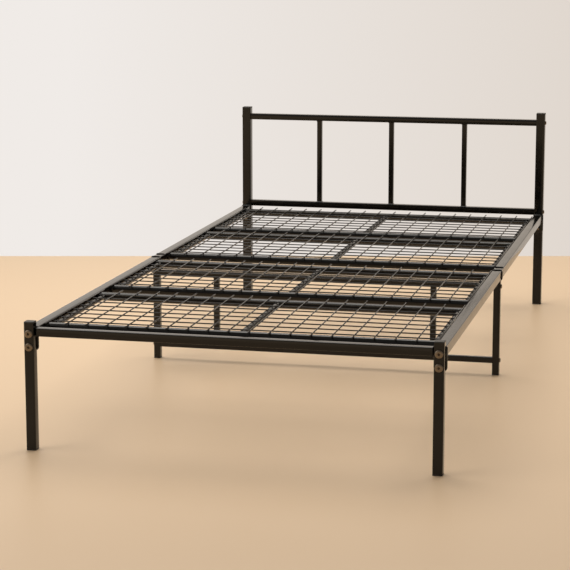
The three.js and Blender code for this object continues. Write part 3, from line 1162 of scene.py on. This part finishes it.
@dataclass
class Studio:
    """A plain pale floor, a pale wall behind the bed, soft lamps and the camera."""

    camera_place: tuple[float, float, float] = (1.1526, -5.4261, 1.2580)
    azimuth: float = 13.15
    down: float = 10.5
    lens_mm: float = 126.67
    sensor_mm: float = 36.0
    lamp_target: tuple[float, float, float] = (0.0, 0.0, 0.3)
    lamps: tuple[Lamp, ...] = (
        Lamp("top_lamp", (-0.4, 1.1, 3.4), (4.0, 2.8), 142, "#fffaf2"),
        Lamp("side_lamp", (-3.4, -2.4, 3.0), (3.0, 3.0), 62, "#fff8ee"),
    )
    air_colour: str = "#e9e4de"
    air_light: float = 0.3
    air_seen: float = 0.9
    wall_distance: float = 7.38
    wall_size: tuple[float, float] = (24.0, 5.0)
    wall_colour: str = "#f0ebe7"
    # painted shade: the wall darkens to this tone across its width
    painted_wall_shade: str = "#ddd3c9"
    wall_fade: tuple[float, float] = (-1.3, 0.9)
    reflected_tint: str = "#fffaf2"
    floor_size: tuple[float, float] = (40.0, 40.0)
    floor_colour: str = "#e0c4a3"
    floor_roughness: tuple[float, float] = (0.38, 0.46)
    floor_specular: float = 0.35
    clouds_per_metre: float = 1.5
    far_floor: str = "#e8ccaa"
    far_reach: tuple[float, float] = (1.9, 3.3)

    def seen_directly(self, tree: NodeTree) -> NodeSocket:
        """Adds what tells rays that show a surface from those that light the bed.

        Args:
            tree: The backdrop's node tree.

        Returns:
            A socket that is one for camera, glossy and transmission rays.
        """
        ray = add_node(tree, "ShaderNodeLightPath")
        seen = ray.outputs["Is Camera Ray"]
        for kind in ("Is Glossy Ray", "Is Transmission Ray"):
            either = add_node(tree, "ShaderNodeMath", {0: seen, 1: ray.outputs[kind]}, operation="MAXIMUM")
            seen = either.outputs["Value"]
        return seen

    def wall_paint(self) -> Material:
        """Makes the wall's flat paint with painted shade across its width, which is seen only from the bed's
        side and lights nothing.

        Returns:
            The paint.
        """
        material, tree = new_material("wall_paint")
        place = add_node(tree, "ShaderNodeTexCoord").outputs["Object"]
        across = add_node(tree, "ShaderNodeSeparateXYZ", {"Vector": place}).outputs["X"]
        # painted shade: the wall's tone darkens across its width
        fade = add_node(tree, "ShaderNodeMapRange", {
            "Value": across, "From Min": self.wall_fade[0], "From Max": self.wall_fade[1]})
        tone = add_node(tree, "ShaderNodeMix", {
            "Factor": fade.outputs["Result"], "A": linear(self.wall_colour), "B": linear(self.painted_wall_shade)},
            data_type="RGBA")
        glossy = add_node(tree, "ShaderNodeLightPath").outputs["Is Glossy Ray"]
        warm = add_node(tree, "ShaderNodeMix", {
            "Factor": glossy, "A": tone.outputs["Result"], "B": linear(self.reflected_tint)},
            data_type="RGBA", blend_type="MULTIPLY")
        flat = add_node(tree, "ShaderNodeEmission", {"Color": warm.outputs["Result"], "Strength": 1.0})
        back = add_node(tree, "ShaderNodeNewGeometry").outputs["Backfacing"]
        shown = add_node(tree, "ShaderNodeMath", {0: self.seen_directly(tree), 1: back},
                         operation="SUBTRACT")
        clear = add_node(tree, "ShaderNodeBsdfTransparent")
        both = add_node(tree, "ShaderNodeMixShader", {
            "Fac": shown.outputs["Value"], 1: clear.outputs["BSDF"], 2: flat.outputs["Emission"]})
        add_node(tree, "ShaderNodeOutputMaterial", {"Surface": both.outputs["Shader"]})
        return material

    def floor_lacquer(self) -> Material:
        """Makes the floor's pale matt lacquer, shown in one even tone where it lies far from the bed.

        Returns:
            The lacquer.
        """
        material, tree = new_material("floor_lacquer")
        place = add_node(tree, "ShaderNodeTexCoord").outputs["Object"]
        cloud = add_node(tree, "ShaderNodeTexNoise", {"Vector": place, "Scale": self.clouds_per_metre})
        gloss = add_node(tree, "ShaderNodeMapRange", {
            "Value": cloud.outputs["Fac"], "To Min": self.floor_roughness[0],
            "To Max": self.floor_roughness[1]})
        shader = add_node(tree, "ShaderNodeBsdfPrincipled", {
            "Base Color": linear(self.floor_colour), "Roughness": gloss.outputs["Result"],
            "Specular IOR Level": self.floor_specular})
        away = add_node(tree, "ShaderNodeVectorMath", {0: place}, operation="LENGTH")
        far = add_node(tree, "ShaderNodeMapRange", {
            "Value": away.outputs["Value"], "From Min": self.far_reach[0], "From Max": self.far_reach[1]},
            interpolation_type="SMOOTHSTEP")
        shown = add_node(tree, "ShaderNodeMath", {0: far.outputs["Result"], 1: self.seen_directly(tree)},
                         operation="MULTIPLY")
        even = add_node(tree, "ShaderNodeEmission", {"Color": linear(self.far_floor), "Strength": 1.0})
        both = add_node(tree, "ShaderNodeMixShader", {
            "Fac": shown.outputs["Value"], 1: shader.outputs["BSDF"], 2: even.outputs["Emission"]})
        add_node(tree, "ShaderNodeOutputMaterial", {"Surface": both.outputs["Shader"]})
        return material

    def plane(self, name: str, size: tuple[float, float], matrix: Matrix, material: Material) -> None:
        """Adds a large flat surface that isn't part of the bed.

        Args:
            name: Its name.
            size: Its width and depth.
            matrix: Its place and turn, which go into its mesh.
            material: Its material.
        """
        deselect_all()
        bpy.ops.mesh.primitive_plane_add(size=1)
        obj = bpy.context.object
        obj.name = name
        obj.data.transform(matrix @ Matrix.Diagonal((*size, 1, 1)))
        obj.data.materials.append(material)

    def wall_matrix(self, heading: float) -> Matrix:
        """Works out where the wall stands, square to the camera's heading.

        Args:
            heading: The camera's turn about the vertical.

        Returns:
            The wall's place and turn.
        """
        forward = Vector((-math.sin(heading), math.cos(heading), 0))
        middle = Vector(self.camera_place) + forward * self.wall_distance
        middle.z = self.wall_size[1] / 2
        upright = Matrix.Rotation(math.pi / 2, 4, "X")
        return Matrix.Translation(middle) @ Matrix.Rotation(heading, 4, "Z") @ upright

    def air(self) -> None:
        """Makes the world: a soft even light, seen as a pale background."""
        world = bpy.data.worlds.new("studio")
        world.use_nodes = True
        tree = world.node_tree
        tree.nodes.clear()
        seen = add_node(tree, "ShaderNodeLightPath").outputs["Is Camera Ray"]
        level = add_node(tree, "ShaderNodeMapRange", {
            "Value": seen, "To Min": self.air_light, "To Max": self.air_seen})
        glow = add_node(tree, "ShaderNodeBackground", {
            "Color": linear(self.air_colour), "Strength": level.outputs["Result"]})
        add_node(tree, "ShaderNodeOutputWorld", {"Surface": glow.outputs["Background"]})
        bpy.context.scene.world = world

    def camera(self, heading: float) -> None:
        """Adds the camera.

        Args:
            heading: Its turn about the vertical.
        """
        data = bpy.data.cameras.new("camera")
        data.lens = self.lens_mm
        data.sensor_width = self.sensor_mm
        obj = bpy.data.objects.new("camera", data)
        obj.location = self.camera_place
        obj.rotation_euler = (math.radians(90 - self.down), 0, heading)
        bpy.context.collection.objects.link(obj)
        bpy.context.scene.camera = obj

    def build(self) -> None:
        """Builds the studio."""
        heading = math.radians(self.azimuth)
        self.plane("floor", self.floor_size, Matrix.Identity(4), self.floor_lacquer())
        self.plane("wall", self.wall_size, self.wall_matrix(heading), self.wall_paint())
        for lamp in self.lamps:
            lamp.build(Vector(self.lamp_target))
        self.air()
        self.camera(heading)
        bpy.context.scene.view_settings.view_transform = "Standard"


def main() -> None:
    """Builds the bed and the studio."""
    materials = build_finishes()
    large = Screw(head_width=19.5 * MM, head_height=4 * MM, socket=6 * MM, shank=8 * MM, nut_width=13 * MM)
    small = Screw(head_width=12 * MM, head_height=3.3 * MM, socket=4 * MM, shank=6 * MM)
    for screw in (large, small):
        screw.model()
    FootEnd(materials, screw=large).build()
    SideRails(materials).build()
    WireDeck(materials).build()
    MiddleSupport(materials, screw=small).build()
    Headboard(materials, screw=small, plate_screw=large).build()
    for screw in (large, small):
        bpy.data.objects.remove(screw.master)
    Studio().build()


if __name__ == "__main__":
    main()
